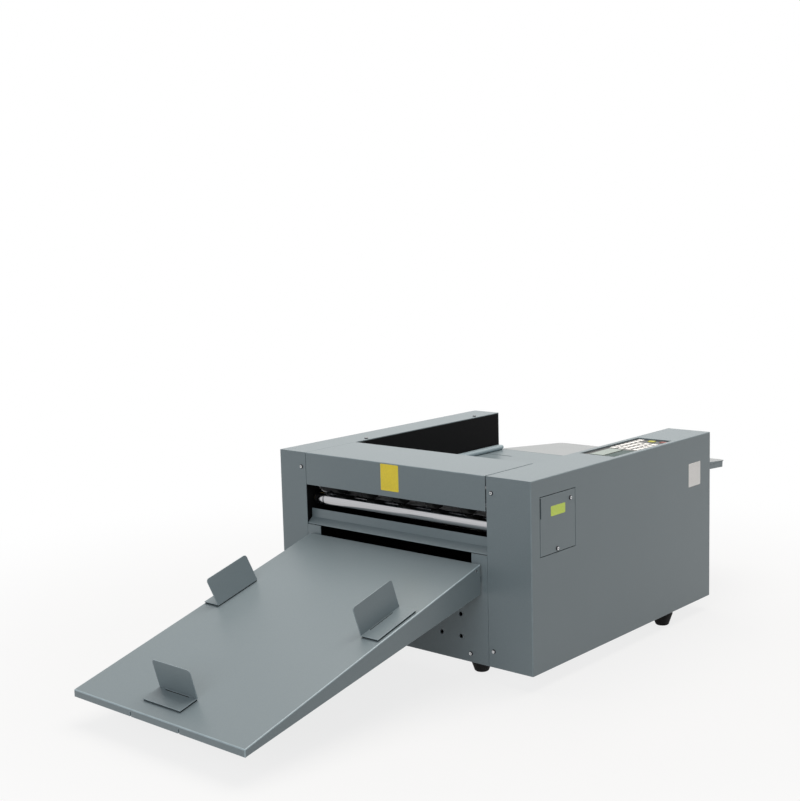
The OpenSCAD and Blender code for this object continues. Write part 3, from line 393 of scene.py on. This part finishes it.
SHEETS = ["left_housing", "right_housing", "front_cover", "lower_front_panel", "access_door",
          "rear_panel", "inner_panels", "tray_brackets", "exit_chute", "feed_gate"]
for node in SHEETS:
    rounded(node)
rounded("feed_deck", paint="grey_paint")
# The table's top in the pale paint and its upright faces in the grey one: lit and shaded copies of one
# coat, a painted highlight on the top.
rounded("feed_table", marks=upright, mark_finish=FINISHES["grey_paint"])
for node in ("left_side_guide", "right_side_guide"):
    rounded(node, fold=4, paint="guide_paint")
rounded("delivery_tray", edge_finish=TRAY_EDGE_HIGHLIGHT)
for node in ("end_stop", "left_guide", "right_guide"):
    rounded(node, fold=0.5, edge=0.25, edge_finish=TRAY_EDGE_HIGHLIGHT, marks=magnet_of(node),
            mark_finish=FINISHES["black_rubber"])
for node in ("power_inlet", "start_button", "stop_button", "keypad", "rubber_feet"):
    rounded(node, fold=0.5, edge=0.5)
# The panel's upright walls in the grey paint instead of its dark plastic: painted light that lifts the
# shaded groove beside the display.
rounded("control_panel", fold=0.3, edge=0.15, marks=upright, mark_finish=FINISHES["grey_paint"])


# Screws: bright crowns inside rims and recesses in a near-black metal, which paints the shadow round and in
# each head

CROWN_SLACK = 0.02 * MM
RIM_SHARE = 0.95


def islands(bm):
    """The vertices of each separate lump."""
    left = set(bm.verts)
    while left:
        todo = [left.pop()]
        lump = []
        while todo:
            vert = todo.pop()
            lump.append(vert)
            for edge in vert.link_edges:
                other = edge.other_vert(vert)
                if other in left:
                    left.remove(other)
                    todo.append(other)
        yield lump


def crown_of(lump):
    """Axis and level of a screw's crown: along its length, on the side where it is widest."""
    spans = [[min(v.co[k] for v in lump), max(v.co[k] for v in lump)] for k in range(3)]
    axis = max(range(3), key=lambda k: spans[k][1] - spans[k][0])
    middle = [sum(span) / 2 for span in spans]

    def reach(vert):
        return math.hypot(*(vert.co[k] - middle[k] for k in range(3) if k != axis))
    widest = max(reach(v) for v in lump)
    rim = [v.co[axis] for v in lump if reach(v) > RIM_SHARE * widest]
    return axis, spans[axis][1 if sum(rim) / len(rim) > middle[axis] else 0]


def screws(node, crown, rim):
    mesh, bm = copy_of(node, rim, crown)
    for lump in islands(bm):
        axis, level = crown_of(lump)
        for face in {face for vert in lump for face in vert.link_faces}:
            face.material_index = int(all(abs(v.co[axis] - level) < CROWN_SLACK for v in face.verts))
    show_for(node, mesh, bm)


CROWN = metal("screw_crown", (0.86, 0.87, 0.88), 0.14, 0.24, EVEN_GRAIN)
# The rims and recesses are near black: painted shadow, not the screws' own metal.
SHADOW_RIM = metal("screw_shadow_rim", (0.05, 0.05, 0.055), 0.35, 0.5, EVEN_GRAIN)
for node in ("cover_screws", "door_screws"):
    screws(node, CROWN, SHADOW_RIM)


# Blank labels

CORNER_RADIUS = 1.5
CORNER_STEPS = 6
FILM = 0.14
FILM_EDGE = 0.05
LEFT_TO_RIGHT, FRONT_TO_BACK, UPWARD = (1, 0, 0), (0, 1, 0), (0, 0, 1)


def label_plate(name, corner, across, up, size, material, body, slot):
    """Thin film with rounded corners, lying on a face; across and up are the face's directions."""
    across, up = Vector(across), Vector(up)
    out = across.cross(up)
    near = CORNER_RADIUS
    far_x, far_y = (length - CORNER_RADIUS for length in size)
    outline = []
    for cx, cy, turn in ((far_x, near, -90), (far_x, far_y, 0), (near, far_y, 90), (near, near, 180)):
        for step in range(CORNER_STEPS + 1):
            angle = math.radians(turn + 90 * step / CORNER_STEPS)
            outline.append((cx + CORNER_RADIUS * math.cos(angle), cy + CORNER_RADIUS * math.sin(angle)))
    bm = bmesh.new()
    base = [bm.verts.new(corner + (across * u + up * v) * MM) for u, v in outline]
    face = bm.faces.new(base)
    raised = bmesh.ops.extrude_face_region(bm, geom=[face])["geom"]
    for vert in raised:
        if isinstance(vert, bmesh.types.BMVert):
            vert.co += out * FILM * MM
    bmesh.ops.recalc_face_normals(bm, faces=bm.faces)
    round_edges(bm, convex_edges(bm), FILM_EDGE, 1)
    mesh = bpy.data.meshes.new(name)
    mesh.materials.append(material)
    bm.to_mesh(mesh)
    bm.free()
    return shown(weighted(mesh), name, body, slot)


def on_front(node, x, z):
    """A point on a piece's front, in mm from its low left corner."""
    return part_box(node)[0] + Vector((x, 0, z)) * MM


def on_right(node, y, z):
    """A point on a piece's right side, in mm from its low front corner."""
    low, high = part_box(node)
    return Vector((high.x, low.y + y * MM, low.z + z * MM))


label_plate("cover_label", on_front("front_cover", 161.2, 9), LEFT_TO_RIGHT, UPWARD, (36, 41),
            label("label_yellow", (0.95, 0.74, 0.045)), "cover", "key_yellow")
label_plate("door_label", on_right("access_door", 26, 54), FRONT_TO_BACK, UPWARD, (36, 14.5),
            label("label_green", (0.7, 0.88, 0.13)), "door", "key_white")
label_plate("side_label", on_right("right_housing", 443, 198), FRONT_TO_BACK, UPWARD, (39, 39),
            label("label_white", (0.95, 0.95, 0.94)), "machine", "key_white")

# A blank film beside the display, on the panel's floor
FILM_GAP = 2 * MM
PANEL_RIM = 4 * MM
window_low, window_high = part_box("display_window")
film_low = Vector((window_high.x + FILM_GAP, window_low.y, window_low.z))
film_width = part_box("control_panel")[1].x - PANEL_RIM - film_low.x
film_length = window_high.y - window_low.y
label_plate("panel_film", film_low, LEFT_TO_RIGHT, FRONT_TO_BACK, (film_width / MM, film_length / MM),
            label("label_teal", (0.02, 0.05, 0.045), Specular_IOR_Level=0.2), "machine", "panel_plastic")


# Floor, light and camera

FLOOR_HALF = 14.0
# The floor goes over into plain white between these distances from the middle, from this share on
FADE_FROM, FADE_TO, FADE_START = 0.4, 1.3, 0.8
FILL = 0.28


def combined(tree, operation, first, second):
    node = tree.nodes.new("ShaderNodeMath")
    node.operation = operation
    tree.links.new(first, node.inputs[0])
    tree.links.new(second, node.inputs[1])
    return node.outputs["Value"]


def background_rays(tree):
    """1 for the rays that show the background: the camera's, and those mirrored or let through."""
    path = tree.nodes.new("ShaderNodeLightPath").outputs
    seen = combined(tree, "MAXIMUM", path["Is Camera Ray"], path["Is Glossy Ray"])
    return combined(tree, "MAXIMUM", seen, path["Is Transmission Ray"])


def floor_finish():
    """Pale grey that takes the shadow near the machine and shows as plain white further off."""
    finish = Finish("floor", roughness=0.9, Specular_IOR_Level=0.1)
    finish.colour(finish.ramp(finish.noise(3, 3), grey(0.55), grey(0.57)))
    nodes = finish.tree.nodes
    distance = nodes.new("ShaderNodeVectorMath")
    distance.operation = "LENGTH"
    finish.link(finish.place, distance.inputs[0])
    fade = nodes.new("ShaderNodeMapRange")
    fade.interpolation_type = "SMOOTHSTEP"
    fade.inputs["From Min"].default_value = FADE_FROM
    fade.inputs["From Max"].default_value = FADE_TO
    fade.inputs["To Min"].default_value = FADE_START
    finish.link(distance.outputs["Value"], fade.inputs["Value"])
    blend = nodes.new("ShaderNodeMixShader")
    white = combined(finish.tree, "MULTIPLY", fade.outputs["Result"], background_rays(finish.tree))
    finish.link(white, blend.inputs["Fac"])
    finish.link(finish.shader.outputs["BSDF"], blend.inputs[1])
    finish.link(nodes.new("ShaderNodeEmission").outputs["Emission"], blend.inputs[2])
    finish.link(blend.outputs["Shader"], nodes["Material Output"].inputs["Surface"])
    return finish.material


def floor():
    mesh = bpy.data.meshes.new("floor")
    corners = [(x * FLOOR_HALF, y * FLOOR_HALF, 0) for x, y in ((-1, -1), (1, -1), (1, 1), (-1, 1))]
    mesh.from_pydata(corners, [], [(0, 1, 2, 3)])
    mesh.materials.append(floor_finish())
    obj = bpy.data.objects.new("floor", mesh)
    bpy.context.scene.collection.objects.link(obj)


def world():
    """White to the camera and in reflections, a softer fill as light."""
    made = bpy.data.worlds.new("studio")
    bpy.context.scene.world = made
    made.use_nodes = True
    tree = made.node_tree
    back = tree.nodes["Background"]
    back.inputs["Color"].default_value = (1.0, 1.0, 1.0, 1.0)
    level = tree.nodes.new("ShaderNodeMapRange")
    level.inputs["To Min"].default_value = FILL
    level.inputs["To Max"].default_value = 1.0
    tree.links.new(background_rays(tree), level.inputs["Value"])
    tree.links.new(level.outputs["Result"], back.inputs["Strength"])


def lamp(name, place, target, size, power, colour):
    data = bpy.data.lights.new(name, "AREA")
    data.shape = "RECTANGLE"
    data.size, data.size_y = size
    data.energy = power
    data.color = colour
    obj = bpy.data.objects.new(name, data)
    obj.location = place
    obj.rotation_euler = (Vector(target) - Vector(place)).to_track_quat("-Z", "Y").to_euler()
    bpy.context.scene.collection.objects.link(obj)


# Where the photograph was taken from: place in mm, direction in degrees
CAMERA_PLACE = (1300.76, -1466.00, 637.97)
AZIMUTH, ELEVATION, ROLL = 41.2839, 7.5719, -1.5348
LENS = 59.31


def camera():
    data = bpy.data.cameras.new("camera")
    data.lens = LENS
    data.clip_end = 60.0
    obj = bpy.data.objects.new("camera", data)
    stand = Matrix.Translation(at(*CAMERA_PLACE))
    for angle, axis in ((AZIMUTH, "Z"), (90 - ELEVATION, "X"), (ROLL, "Z")):
        stand @= Matrix.Rotation(math.radians(angle), 4, axis)
    obj.matrix_world = stand
    bpy.context.scene.collection.objects.link(obj)
    bpy.context.scene.camera = obj


floor()
world()
lamp("overhead", (-0.1, 0.5, 2.6), (0.0, 0.0, 0.2), (2.6, 2.2), 81, (1.0, 0.935, 0.875))
lamp("front_fill", (0.8, -2.8, 1.3), (0.0, 0.0, 0.15), (2.0, 1.6), 21, (0.97, 0.985, 1.0))
camera()
bpy.context.scene.view_settings.view_transform = "Standard"
